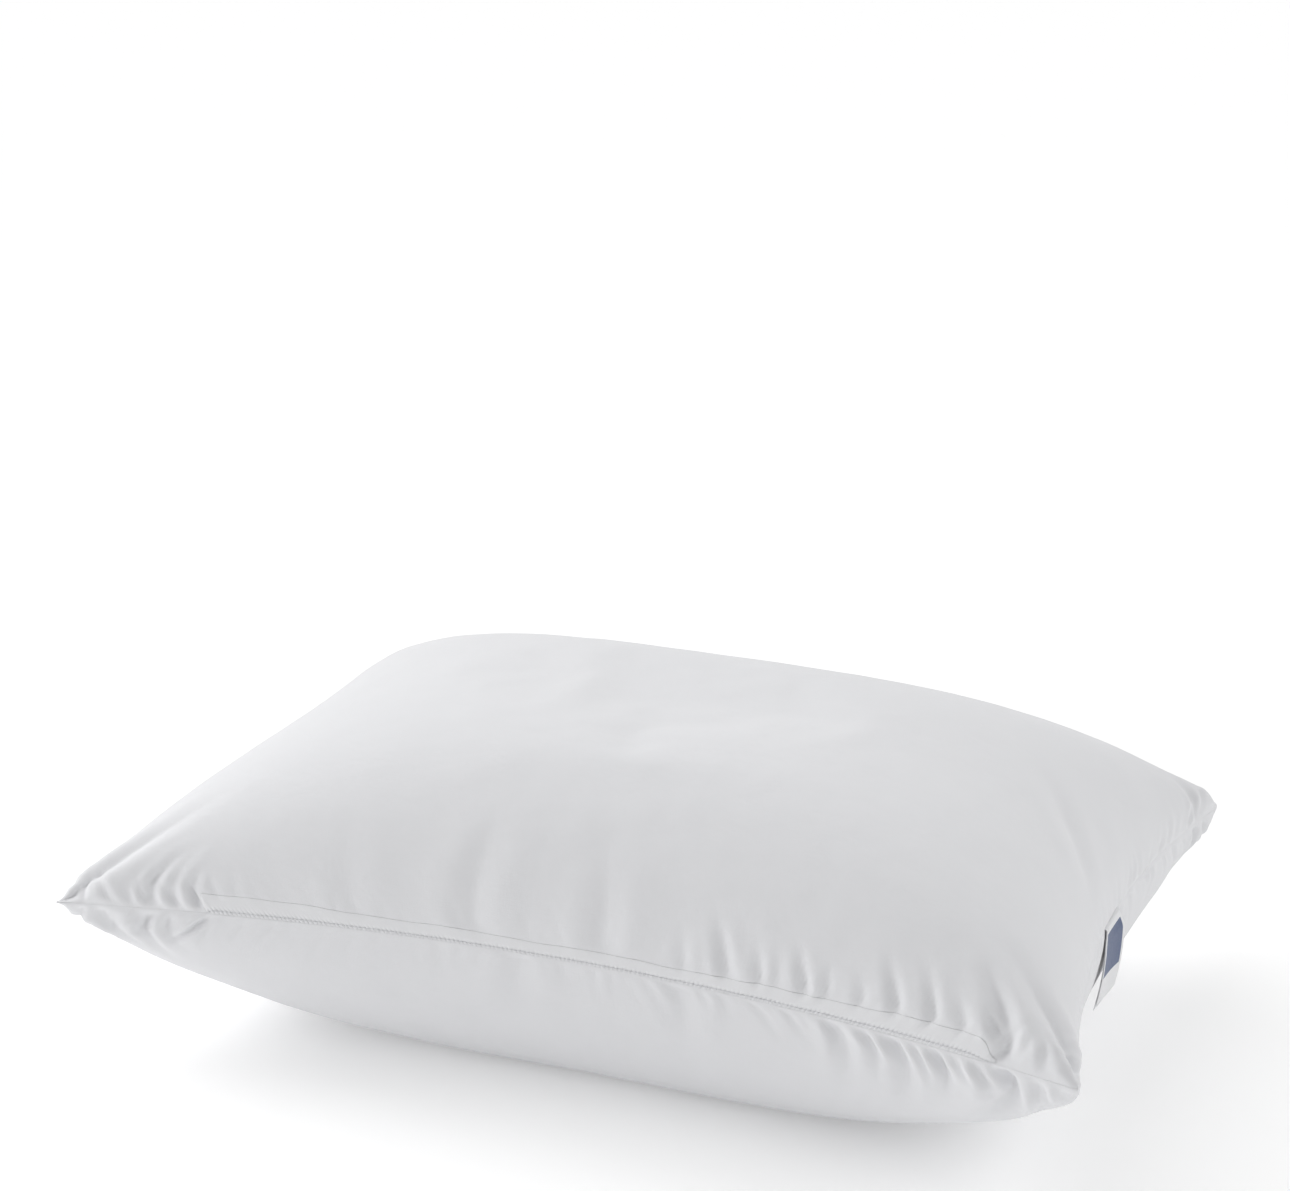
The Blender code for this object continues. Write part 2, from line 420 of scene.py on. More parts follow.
@dataclass(frozen=True)
class ClothLines:
    """Where a panel's fine grid lines run: close together at the seams and wider in the open."""

    rim_step: float = 0.00025
    seam_step: float = 0.0007
    growth: float = 1.25
    open_step: float = 0.0024

    def across(self, size: float) -> np.ndarray:
        """Line places over a cut of the given size.

        Args:
            size: The cut's size, seam to seam.

        Returns:
            Places from -size / 2 to size / 2.
        """
        near, step = [0.0, self.rim_step], self.seam_step
        while step < self.open_step:
            near.append(near[-1] + step)
            step *= self.growth
        open_count = math.ceil((size - 2 * near[-1]) / self.open_step)
        middle = np.linspace(near[-1], size - near[-1], open_count + 1)
        places = np.concatenate([near[:-1], middle, size - np.array(near[-2::-1])])
        return places - size / 2


@dataclass(frozen=True)
class Fold:
    """A soft valley in a panel, with a swell on both sides of it."""

    panel: Panel
    start: tuple[float, float]
    end: tuple[float, float]
    width: float
    depth: float
    taper: Taper = Taper.BOTH_ENDS
    shoulder: float = 0.45
    narrowing: float = 0.8
    deepening: float = 1.3

    def sink(self, flat: np.ndarray) -> np.ndarray:
        """How far the fold pushes the cloth in at each cloth coordinate.

        Args:
            flat: Cloth coordinates.

        Returns:
            Depths, negative where the cloth swells out.
        """
        start, run = np.array(self.start), np.array(self.end) - np.array(self.start)
        length = float(np.hypot(*run))
        along_axis = run / length
        across_axis = np.array([-along_axis[1], along_axis[0]])
        offset = flat - start
        along = offset @ along_axis / length
        across = offset @ across_axis / (self.narrowing * self.width)
        if self.taper is Taper.FROM_SEAM:
            strength = smooth_step(1.0 - along) * smooth_step((along + 0.12) / 0.12)
        else:
            strength = np.sin(np.clip(along, 0.0, 1.0) * math.pi) ** 1.5
        valley = np.exp(0.3 - np.sqrt(across**2 + 0.09) * 1.15 - 0.15 * across**2)
        swell = np.exp(-((np.abs(across) - 1.7) ** 2))
        return self.deepening * self.depth * strength * (valley - self.shoulder * swell)


@dataclass(frozen=True)
class SeamPuckers:
    """The small gathers that the stitching draws into the cloth beside every seam."""

    cloth: CutCloth
    spacing: tuple[float, float] = (0.011, 0.027)
    reach: tuple[float, float] = (0.014, 0.042)
    depth: tuple[float, float] = (0.0004, 0.0015)
    lean: float = 0.45
    seed: int = 21

    def strength(self, share: float, side: int) -> float:
        """How strongly a side is gathered at a share of its length.

        Args:
            share: From -1 to 1 along the side.
            side: 0 front, 1 right, 2 back, 3 left.

        Returns:
            A factor on the puckers' depth.
        """
        near_corner = max(0.0, (abs(share) - 0.62) / 0.38)
        calm = 0.35 if side == 0 and -0.55 < share < 0.12 else 0.8
        return calm + 0.9 * near_corner

    def side_point(self, side: int, along: float, inward: float) -> tuple[float, float]:
        """A cloth coordinate at a place along a side and a distance in from it."""
        half_x, half_y = self.cloth.length / 2, self.cloth.width / 2
        front, right = (along, inward - half_y), (half_x - inward, along)
        back, left = (along, half_y - inward), (inward - half_x, along)
        return (front, right, back, left)[side]

    def folds(self) -> list[Fold]:
        """All the gathers of both panels, in a seeded order.

        Returns:
            One short fold for each gather.
        """
        random = np.random.default_rng(self.seed)
        made = []
        for panel in Panel:
            for side in range(4):
                half = (self.cloth.length if side % 2 == 0 else self.cloth.width) / 2
                along = -half + 0.02
                while along < half - 0.02:
                    reach = random.uniform(*self.reach)
                    depth = random.uniform(*self.depth) * self.strength(along / half, side)
                    shift = random.uniform(-self.lean, self.lean) * reach
                    width = random.uniform(0.0028, 0.0055)
                    start = self.side_point(side, along, 0.0)
                    end = self.side_point(side, along + shift, reach)
                    made.append(Fold(panel, start, end, width, depth, Taper.FROM_SEAM))
                    along += random.uniform(*self.spacing)
        return made


FRONT = -0.254  # the closing seam, across the panel laid flat


def front_folds() -> list[Fold]:
    """The larger folds and creases along the closing seam, each given in cloth coordinates.

    Returns:
        The folds of both panels.
    """
    top, bottom, seam = Panel.TOP, Panel.BOTTOM, Taper.FROM_SEAM
    above = FRONT + 0.008
    return [
        # round the end of the lap, near the right corner
        Fold(top, (0.300, FRONT), (0.250, -0.172), 0.0085, 0.0055, seam),
        Fold(top, (0.288, above), (0.256, -0.208), 0.0050, 0.0030, seam),
        Fold(top, (0.333, FRONT), (0.300, -0.218), 0.0048, 0.0012, seam),
        Fold(top, (0.318, FRONT), (0.292, -0.222), 0.0045, 0.0012, seam),
        Fold(top, (0.349, -0.240), (0.254, -0.150), 0.0110, 0.0042, seam),
        # gathers above the lap
        Fold(top, (0.264, above), (0.246, -0.216), 0.0042, 0.0016, seam),
        Fold(top, (0.243, above), (0.219, -0.196), 0.0050, 0.0028, seam),
        Fold(top, (0.219, above), (0.196, -0.200), 0.0052, 0.0030, seam),
        Fold(top, (0.196, above), (0.184, -0.218), 0.0042, 0.0014, seam),
        Fold(top, (0.172, above), (0.166, -0.216), 0.0040, 0.0018, seam),
        Fold(top, (0.159, above), (0.142, -0.208), 0.0046, 0.0028, seam),
        Fold(top, (0.129, above), (0.118, -0.212), 0.0044, 0.0020, seam),
        Fold(top, (0.107, above), (0.090, -0.200), 0.0055, 0.0030, seam),
        Fold(top, (0.078, above), (0.072, -0.214), 0.0050, 0.0014, seam),
        # slow swells over the middle
        Fold(top, (0.024, above), (0.016, -0.150), 0.0125, 0.0017, seam),
        Fold(top, (-0.062, above), (-0.058, -0.150), 0.0130, 0.0018, seam),
        Fold(top, (-0.140, above), (-0.150, -0.170), 0.0120, 0.0007, seam),
        # the left corner
        Fold(top, (-0.344, -0.250), (-0.225, -0.145), 0.0105, 0.0042, seam),
        Fold(top, (-0.304, FRONT), (-0.255, -0.208), 0.0050, 0.0013, seam),
        Fold(top, (-0.289, FRONT), (-0.238, -0.198), 0.0052, 0.0032, seam),
        Fold(top, (-0.272, FRONT), (-0.228, -0.190), 0.0048, 0.0014, seam),
        Fold(top, (-0.256, FRONT), (-0.238, -0.222), 0.0042, 0.0026, seam),
        Fold(bottom, (-0.324, -0.252), (-0.262, -0.214), 0.0060, 0.0030, seam),
        Fold(bottom, (-0.291, -0.253), (-0.252, -0.205), 0.0060, 0.0034, seam),
        Fold(bottom, (-0.277, FRONT), (-0.244, -0.222), 0.0048, 0.0024, seam),
        Fold(bottom, (-0.247, FRONT), (-0.264, -0.230), 0.0040, 0.0036, seam),
        # below the lap, towards the right corner
        Fold(bottom, (0.186, FRONT), (0.170, -0.196), 0.0075, 0.0030, seam),
        Fold(bottom, (0.208, FRONT), (0.196, -0.214), 0.0050, 0.0018, seam),
        Fold(bottom, (0.226, FRONT), (0.203, -0.184), 0.0078, 0.0038, seam),
        Fold(bottom, (0.241, FRONT), (0.231, -0.222), 0.0042, 0.0024, seam),
        Fold(bottom, (0.255, FRONT), (0.236, -0.214), 0.0050, 0.0034, seam),
        Fold(bottom, (0.283, FRONT), (0.264, -0.206), 0.0055, 0.0038, seam),
        Fold(bottom, (0.301, -0.252), (0.238, -0.168), 0.0115, 0.0080, seam),
        Fold(bottom, (0.322, -0.252), (0.298, -0.196), 0.0075, 0.0036, seam),
        Fold(bottom, (0.343, -0.250), (0.286, -0.196), 0.0080, 0.0018, seam),
        Fold(bottom, (0.080, FRONT), (0.070, -0.190), 0.0120, 0.0016, seam),
        Fold(bottom, (-0.030, FRONT), (-0.036, -0.200), 0.0120, 0.0014, seam),
        # a long crease across the right shoulder
        Fold(top, (0.235, 0.050), (0.338, -0.046), 0.0120, 0.0017),
    ]


def back_corner_folds() -> list[Fold]:
    """Creases that run in from the two back corners, on both panels.

    Returns:
        Four creases for each corner and panel.
    """
    made = []
    for panel in Panel:
        for side in (-1, 1):
            reach = 0.92 if side > 0 else 1.08
            for start, end, width, depth in (
                ((0.344, 0.247), (0.245, 0.155), 0.0105, 0.0042),
                ((0.300, 0.252), (0.258, 0.205), 0.0055, 0.0028),
                ((0.268, 0.253), (0.240, 0.200), 0.0055, 0.0024),
                ((0.353, 0.205), (0.300, 0.178), 0.0055, 0.0026),
            ):
                tip_x = start[0] + (end[0] - start[0]) * reach
                tip_y = start[1] + (end[1] - start[1]) * reach
                root, tip = (side * start[0], start[1]), (side * tip_x, tip_y)
                made.append(Fold(panel, root, tip, width, depth, Taper.FROM_SEAM))
    return made


@dataclass
class FineCloth:
    """Both panels at full detail, as grids of points with their normals."""

    cloth: CutCloth
    coarse: dict[Panel, np.ndarray]
    lines: ClothLines = ClothLines()
    groove_depth: float = 0.0008
    groove_width: float = 0.0012
    seam_hold: float = 0.0045
    lap_span: tuple[float, float] = (-0.251, 0.2965)
    lap_calm: tuple[float, float] = (0.0035, 0.0160)
    lap_bulk: float = 0.0004
    lap_feather: float = 0.005
    channel_rise: float = 0.0013
    channel_depth: float = 0.0011
    channel_width: float = 0.0011
    tip_radius: float = 0.012
    corner_puff: float = 0.0050
    corner_reach: float = 0.045
    corner_round: float = 0.016
    left_tip_share: float = 0.35
    rest_gap: float = 0.0006
    flat: np.ndarray = field(init=False)
    smooth: dict[Panel, np.ndarray] = field(init=False)
    bed: dict[Panel, np.ndarray] = field(init=False)
    points: dict[Panel, np.ndarray] = field(init=False)

    def __post_init__(self) -> None:
        """Refines the coarse grids, then works the folds and the seam groove into them."""
        along, across = self.lines.across(self.cloth.length), self.lines.across(self.cloth.width)
        self.flat = np.stack(np.meshgrid(along, across, indexing="ij"), axis=-1)
        self.smooth = {panel: self.refine(grid, along, across) for panel, grid in self.coarse.items()}
        self.bed, self.points = {}, {}
        folds = [*front_folds(), *back_corner_folds(), *SeamPuckers(self.cloth).folds()]
        from_seam, lapped = self.cloth.seam_distance(self.flat), self.beside_lap()
        groove = self.groove_depth * np.exp(-((from_seam / self.groove_width) ** 2)) * (1 - lapped)
        proud = self.lap_bulk * np.exp(-((from_seam / self.lap_feather) ** 2)) * lapped
        off_channel = (from_seam - self.channel_rise) / self.channel_width
        channel = self.channel_depth * np.exp(-(off_channel**2)) * lapped
        for panel, grid in self.smooth.items():
            grid = self.shape_corners(panel, grid)
            normals = self.normals(panel, grid)
            sink = sum(fold.sink(self.flat) for fold in folds if fold.panel is panel)
            sink = sink * smooth_step(from_seam / self.seam_hold)
            if panel is Panel.TOP:
                sink = sink * self.calm_under_lap()
            self.bed[panel] = grid - normals * (sink - proud)[..., None]
            cut = groove + channel if panel is Panel.TOP else groove
            moved = self.bed[panel] - normals * cut[..., None]
            moved[..., 2] = np.maximum(moved[..., 2], self.rest_gap)
            self.points[panel] = moved
        middle = (self.points[Panel.TOP] + self.points[Panel.BOTTOM]) / 2
        middle[:, 0] += (self.bed[Panel.BOTTOM][:, 0] - middle[:, 0]) * lapped[:, :1]
        for edge in (np.s_[0, :], np.s_[-1, :], np.s_[:, 0], np.s_[:, -1]):
            for panel in Panel:
                self.points[panel][edge] = middle[edge]

    def refine(self, grid: np.ndarray, along: np.ndarray, across: np.ndarray) -> np.ndarray:
        """Reads the coarse grid at the fine lines.

        Args:
            grid: Coarse points.
            along: Fine line places along the length.
            across: Fine line places across the width.

        Returns:
            Fine points.
        """
        rows = spline_weights(grid.shape[0], along / self.cloth.length + 0.5)
        columns = spline_weights(grid.shape[1], across / self.cloth.width + 0.5)
        return np.einsum("ai,ijk,bj->abk", rows, grid, columns, optimize=True)

    def normals(self, panel: Panel, grid: np.ndarray) -> np.ndarray:
        """Outward unit normals of a panel's grid.

        Args:
            panel: Which panel, for the side that faces out.
            grid: Its points.

        Returns:
            A normal for each point.
        """
        crossed = np.cross(np.gradient(grid, axis=0), np.gradient(grid, axis=1))
        return unit(crossed) * panel.value

    def beside_lap(self) -> np.ndarray:
        """1 along the front seam where the closing lap stands, 0 elsewhere."""
        start, end = self.lap_span
        fade = 0.008
        along = self.flat[..., 0]
        inside = smooth_step((along - start) / fade) * smooth_step((end - along) / fade)
        return inside * (self.flat[..., 1] < 0)

    def calm_under_lap(self) -> np.ndarray:
        """A factor that keeps the top panel smooth where the closing lap lies on it."""
        height = self.flat[..., 1] + self.cloth.width / 2
        low, high = self.lap_calm
        return 1 - self.beside_lap() * (1 - smooth_step((height - low) / (high - low)))

    def shape_corners(self, panel: Panel, grid: np.ndarray) -> np.ndarray:
        """Rounds off the four tips and fills them out, where the turned-in allowances bunch up.

        Args:
            panel: Which panel.
            grid: Its points.

        Returns:
            The points with blunt, full corners. The front left one stays the sharpest.
        """
        away_x = self.cloth.length / 2 - np.abs(self.flat[..., 0])
        away_y = self.cloth.width / 2 - np.abs(self.flat[..., 1])
        front_left = (self.flat[..., 0] < 0) & (self.flat[..., 1] < 0)
        share = np.where(front_left, self.left_tip_share, 1.0)
        radius = self.tip_radius * share
        a, b = np.clip(1 - away_x / radius, 0, 1), np.clip(1 - away_y / radius, 0, 1)
        inward_x = (a - a * np.sqrt(1 - b**2 / 2)) * radius
        inward_y = (b - b * np.sqrt(1 - a**2 / 2)) * radius
        from_seam = np.minimum(away_x, away_y)
        near = np.exp(-((np.hypot(away_x, away_y) / self.corner_reach) ** 2))
        puff = self.corner_puff * share * near * np.sqrt(np.clip(from_seam / self.corner_round, 0, 1))
        moved_x, moved_y = -np.sign(grid[..., 0]) * inward_x, -np.sign(grid[..., 1]) * inward_y
        return grid + np.stack([moved_x, moved_y, panel.value * puff], axis=-1)

    def on_top(self, along: np.ndarray, height: float) -> tuple[np.ndarray, np.ndarray]:
        """Places on the top panel a distance in from the front seam.

        Args:
            along: Cloth coordinates along the seam.
            height: Distance in from the seam; below 0 carries on straight past it.

        Returns:
            The points there and their outward normals.
        """
        grid = self.bed[Panel.TOP]
        normals = self.normals(Panel.TOP, grid)
        lines, across = self.flat[:, 0, 0], self.flat[0, :, 1] + self.cloth.width / 2
        reach = max(height, 0.0)
        k = int(np.clip(np.searchsorted(across, reach, side="right") - 1, 0, len(across) - 2))
        f = (reach - across[k]) / (across[k + 1] - across[k])
        line = grid[:, k] * (1 - f) + grid[:, k + 1] * f
        facing = unit(normals[:, k] * (1 - f) + normals[:, k + 1] * f)
        if height < 0:
            line = line + unit(grid[:, 1] - grid[:, 0]) * height
        return read_at(along, lines, line), unit(read_at(along, lines, facing))


# ---------------------------------------------------------------- making meshes


def make_mesh(
    name: str, points: np.ndarray, faces: list[list[int]], flat: np.ndarray | None = None
) -> bpy.types.Object:
    """A smooth-shaded mesh object, with cloth coordinates in metres where it has them.

    Args:
        name: The piece's name.
        points: One point a vertex.
        faces: The vertex numbers of each face.
        flat: One cloth coordinate a vertex.

    Returns:
        The new object.
    """
    mesh = bpy.data.meshes.new(name)
    mesh.from_pydata(points.tolist(), [], faces)
    if flat is not None:
        layer = mesh.uv_layers.new(name="cloth")
        corner_vertices = np.empty(len(mesh.loops), np.int32)
        mesh.loops.foreach_get("vertex_index", corner_vertices)
        layer.data.foreach_set("uv", flat[corner_vertices].astype(np.float32).ravel())
    mesh.shade_smooth()
    piece = bpy.data.objects.new(name, mesh)
    bpy.context.scene.collection.objects.link(piece)
    return piece


def make_sheet(
    name: str, grid: np.ndarray, normals: np.ndarray, flat: np.ndarray, thickness: float
) -> bpy.types.Object:
    """A closed sheet: the grid as its outer face, a second face behind it, and the edge between.

    Args:
        name: The piece's name.
        grid: Outer points in two axes, first axis by second giving the outward side.
        normals: Outward normals of the grid.
        flat: Cloth coordinates of the grid.
        thickness: How thick the cloth is.

    Returns:
        The new object.
    """
    rows, columns = grid.shape[:2]
    front = np.arange(rows * columns).reshape(rows, columns)
    back = front + front.size
    rim = np.concatenate([front[:-1, 0], front[-1, :-1], front[:0:-1, -1], front[0, :0:-1]])
    after = np.roll(rim, -1)
    edge = np.stack([after, rim, rim + front.size, after + front.size], axis=1)
    quads = np.concatenate([grid_quads(front), grid_quads(back)[:, ::-1], edge])
    points = np.concatenate([grid.reshape(-1, 3), (grid - normals * thickness).reshape(-1, 3)])
    return make_mesh(name, points, quads.tolist(), np.tile(flat.reshape(-1, 2), (2, 1)))


def make_thread(name: str, path: np.ndarray, radius: float) -> bpy.types.Object:
    """A round thread along a path.

    Args:
        name: The piece's name.
        path: Points that the thread runs through.
        radius: Its radius.

    Returns:
        The new curve object.
    """
    curve = bpy.data.curves.new(name, "CURVE")
    curve.dimensions = "3D"
    curve.bevel_depth, curve.bevel_resolution = radius, 1
    curve.use_fill_caps = True
    spline = curve.splines.new("POLY")
    spline.points.add(len(path) - 1)
    spline.points.foreach_set("co", np.concatenate([path, np.ones((len(path), 1))], axis=1).ravel())
    thread = bpy.data.objects.new(name, curve)
    bpy.context.scene.collection.objects.link(thread)
    return thread


# ---------------------------------------------------------------- finishes


class NodeBench:
    """A material's node tree with short ways to add and join nodes."""

    def __init__(self, name: str) -> None:
        """Starts a material that holds one Principled shader."""
        self.material = bpy.data.materials.new(name)
        self.material.use_nodes = True
        self.tree = self.material.node_tree
        self.shader = self.tree.nodes["Principled BSDF"]

    def add(self, kind: str, **settings: object) -> bpy.types.Node:
        """A new node of a kind, with its properties set.

        Args:
            kind: The node's type name.
            **settings: Properties by name.

        Returns:
            The node.
        """
        node = self.tree.nodes.new(kind)
        for key, value in settings.items():
            setattr(node, key, value)
        return node

    def link(self, source: bpy.types.NodeSocket, target: bpy.types.NodeSocket) -> None:
        """Joins an output to an input."""
        self.tree.links.new(source, target)

    def feed(self, socket: bpy.types.NodeSocket, value: object) -> None:
        """Sets an input to a number, or links it to an output."""
        if isinstance(value, bpy.types.NodeSocket):
            self.link(value, socket)
        else:
            socket.default_value = value

    def math(self, operation: str, *values: object) -> bpy.types.NodeSocket:
        """The result of a Math node.

        Args:
            operation: The node's operation.
            *values: Numbers or outputs for its inputs.

        Returns:
            Its output.
        """
        node = self.add("ShaderNodeMath", operation=operation)
        for socket, value in zip(node.inputs, values):
            self.feed(socket, value)
        return node.outputs[0]

    def scaled(self, source: bpy.types.NodeSocket, scale: tuple[float, float, float]) -> bpy.types.NodeSocket:
        """Coordinates stretched by a scale for each axis.

        Args:
            source: The coordinates.
            scale: Factors for x, y and z.

        Returns:
            The stretched coordinates.
        """
        node = self.add("ShaderNodeMapping")
        node.inputs["Scale"].default_value = scale
        self.link(source, node.inputs["Vector"])
        return node.outputs[0]

    def noise(self, source: bpy.types.NodeSocket, scale: float, detail: float = 2.0) -> bpy.types.NodeSocket:
        """Soft noise over coordinates in metres.

        Args:
            source: The coordinates.
            scale: Waves a metre.
            detail: How many finer layers it has.

        Returns:
            Its strength, about 0.5 on average.
        """
        node = self.add("ShaderNodeTexNoise")
        node.inputs["Scale"].default_value = scale
        node.inputs["Detail"].default_value = detail
        self.link(source, node.inputs["Vector"])
        return node.outputs["Fac"]

    def ribs(self, source: bpy.types.NodeSocket, pitch: float, direction: str) -> bpy.types.NodeSocket:
        """Even ribs over coordinates in metres.

        Args:
            source: The coordinates.
            pitch: The distance between ribs.
            direction: X or Y.

        Returns:
            Their height, from 0 to 1.
        """
        node = self.add("ShaderNodeTexWave", wave_type="BANDS", bands_direction=direction, wave_profile="SIN")
        node.inputs["Scale"].default_value = math.pi / 10 / pitch
        self.link(source, node.inputs["Vector"])
        return node.outputs["Fac"]

    def remap(self, value: bpy.types.NodeSocket, low: float, high: float) -> bpy.types.NodeSocket:
        """A 0 to 1 value spread from low to high."""
        node = self.add("ShaderNodeMapRange")
        node.inputs["To Min"].default_value, node.inputs["To Max"].default_value = low, high
        self.link(value, node.inputs["Value"])
        return node.outputs[0]

    def blend_colours(self, share: bpy.types.NodeSocket, low: object, high: object) -> bpy.types.NodeSocket:
        """A colour between two.

        Args:
            share: 0 gives low and 1 gives high.
            low: A colour, or an output that gives one.
            high: The same.

        Returns:
            The mixed colour.
        """
        node = self.add("ShaderNodeMix", data_type="RGBA")
        self.link(share, node.inputs["Factor"])
        self.feed(node.inputs[6], low if isinstance(low, bpy.types.NodeSocket) else (*low, 1.0))
        self.feed(node.inputs[7], high if isinstance(high, bpy.types.NodeSocket) else (*high, 1.0))
        return node.outputs[2]

    def bump(
        self, height: bpy.types.NodeSocket, depth: float, onto: bpy.types.NodeSocket | None = None
    ) -> bpy.types.NodeSocket:
        """A bump of a real depth, on top of another if given.

        Args:
            height: Its height, from 0 to 1.
            depth: How deep 0 to 1 is, in metres.
            onto: The normal that it starts from.

        Returns:
            The bumped normal.
        """
        node = self.add("ShaderNodeBump")
        node.inputs["Distance"].default_value = depth
        self.link(height, node.inputs["Height"])
        if onto is not None:
            self.link(onto, node.inputs["Normal"])
        return node.outputs[0]

    def surface(self, **inputs: object) -> None:
        """Sets the shader's inputs, with underscores for spaces in their names."""
        for name, value in inputs.items():
            self.feed(self.shader.inputs[name.replace("_", " ")], value)


@dataclass(frozen=True)
class MicrofibreFinish:
    """Brushed white microfibre: a close plain weave with faint slubs and a soft sheen."""

    name: str = "white_microfibre"
    bright: tuple[float, float, float] = (0.800, 0.803, 0.820)
    shade: tuple[float, float, float] = (0.760, 0.763, 0.782)
    yarn_pitch: float = 0.00042
    weave_depth: float = 0.000035
    slub_depth: float = 0.00006
    crease_depth: float = 0.0009

    def build(self) -> bpy.types.Material:
        """The cloth's material.

        Returns:
            A material over cloth coordinates in metres.
        """
        bench = NodeBench(self.name)
        cloth = bench.add("ShaderNodeUVMap", uv_map="cloth").outputs[0]
        warp, weft = bench.ribs(cloth, self.yarn_pitch, "X"), bench.ribs(cloth, self.yarn_pitch, "Y")
        weave = bench.math("MULTIPLY", warp, weft)
        slub_long = bench.noise(bench.scaled(cloth, (1.0, 0.12, 1.0)), 900.0)
        slub_cross = bench.noise(bench.scaled(cloth, (0.12, 1.0, 1.0)), 900.0)
        slubs = bench.math("ADD", slub_long, slub_cross)
        creases = bench.noise(cloth, 38.0, 3.0)
        normal = bench.bump(creases, self.crease_depth)
        normal = bench.bump(slubs, self.slub_depth, normal)
        normal = bench.bump(weave, self.weave_depth, normal)
        broad = bench.noise(cloth, 14.0, 4.0)
        mottle = bench.math("MULTIPLY_ADD", broad, 0.6, bench.math("MULTIPLY", slubs, 0.2))
        bench.surface(
            Base_Color=bench.blend_colours(mottle, self.shade, self.bright),
            Roughness=bench.remap(slubs, 0.70, 0.92),
            Normal=normal,
            Sheen_Weight=0.35,
            Sheen_Roughness=0.45,
            Specular_IOR_Level=0.25,
        )
        return bench.material


@dataclass(frozen=True)
class ThreadFinish:
    """White polyester sewing thread with a twisted ply."""

    name: str = "white_thread"
    bright: tuple[float, float, float] = (0.86, 0.865, 0.88)
    # painted shade: the colour given to the grooves between the plies
    shade: tuple[float, float, float] = (0.70, 0.705, 0.73)
    twist_pitch: float = 0.00045

    def build(self) -> bpy.types.Material:
        """The thread's material.

        Returns:
            A material with ply ridges, and painted shade in the grooves between them.
        """
        bench = NodeBench(self.name)
        place = bench.add("ShaderNodeTexCoord").outputs["Object"]
        ply = bench.add("ShaderNodeTexWave", wave_type="BANDS", bands_direction="DIAGONAL")
        ply.inputs["Scale"].default_value = math.pi / 10 / self.twist_pitch
        bench.link(place, ply.inputs["Vector"])
        fuzz = bench.noise(place, 2500.0)
        # painted shade: the shade colour sits in the grooves between the plies and the bright one on their
        # ridges
        bench.surface(
            Base_Color=bench.blend_colours(ply.outputs["Fac"], self.shade, self.bright),
            Roughness=bench.remap(fuzz, 0.38, 0.62),
            Normal=bench.bump(ply.outputs["Fac"], 0.00005),
            Sheen_Weight=0.2,
        )
        return bench.material


@dataclass(frozen=True)
class FibreFinish:
    """Carded white polyester fibre."""

    name: str = "polyester_fibre"
    bright: tuple[float, float, float] = (0.93, 0.93, 0.93)
    shade: tuple[float, float, float] = (0.80, 0.80, 0.81)

    def build(self) -> bpy.types.Material:
        """The fibre's material.

        Returns:
            A soft material with fine crossing strands.
        """
        bench = NodeBench(self.name)
        place = bench.add("ShaderNodeTexCoord").outputs["Object"]
        strands = bench.noise(bench.scaled(place, (1.0, 0.15, 0.6)), 420.0, 5.0)
        crossing = bench.noise(bench.scaled(place, (0.15, 1.0, 0.6)), 520.0, 5.0)
        mass = bench.math("MULTIPLY", strands, crossing)
        bench.surface(
            Base_Color=bench.blend_colours(bench.math("MULTIPLY", mass, 3.0), self.shade, self.bright),
            Roughness=bench.remap(strands, 0.85, 1.0),
            Normal=bench.bump(mass, 0.0012),
            Sheen_Weight=0.6,
        )
        return bench.material


@dataclass(frozen=True)
class TapeFinish:
    """Woven satin label tape, plain or with one woven block of colour."""

    name: str
    ground: tuple[float, float, float] = (0.84, 0.845, 0.86)
    block: tuple[float, float, float] | None = None
    block_low: tuple[float, float] = (0.0, 0.0)
    block_high: tuple[float, float] = (0.0, 0.0)
    rib_pitch: float = 0.0005

    def block_mask(self, bench: NodeBench, tape: bpy.types.NodeSocket) -> bpy.types.NodeSocket:
        """1 inside the coloured block and 0 outside it.

        Args:
            bench: The material's bench.
            tape: Tape coordinates in metres.

        Returns:
            The mask.
        """
        split = bench.add("ShaderNodeSeparateXYZ")
        bench.link(tape, split.inputs[0])
        mask = None
        for axis in (0, 1):
            above = bench.math("GREATER_THAN", split.outputs[axis], self.block_low[axis])
            below = bench.math("LESS_THAN", split.outputs[axis], self.block_high[axis])
            inside = bench.math("MULTIPLY", above, below)
            mask = inside if mask is None else bench.math("MULTIPLY", mask, inside)
        return mask

    def build(self) -> bpy.types.Material:
        """The tape's material.

        Returns:
            A material over tape coordinates in metres.
        """
        bench = NodeBench(self.name)
        tape = bench.add("ShaderNodeUVMap", uv_map="cloth").outputs[0]
        ribs = bench.ribs(tape, self.rib_pitch, "Y")
        floats = bench.noise(bench.scaled(tape, (1.0, 0.2, 1.0)), 1800.0)
        shade = tuple(part * 0.93 for part in self.ground)
        colour = bench.blend_colours(floats, shade, self.ground)
        if self.block is not None:
            # painted shade: inside the navy block the troughs between the ribs get the darker navy
            deep = tuple(part * 0.80 for part in self.block)
            woven = bench.blend_colours(ribs, deep, self.block)
            colour = bench.blend_colours(self.block_mask(bench, tape), colour, woven)
        normal = bench.bump(floats, 0.00004, bench.bump(ribs, 0.00006))
        bench.surface(
            Base_Color=colour,
            Roughness=bench.remap(floats, 0.42, 0.66),
            Normal=normal,
            Sheen_Weight=0.25,
        )
        return bench.material


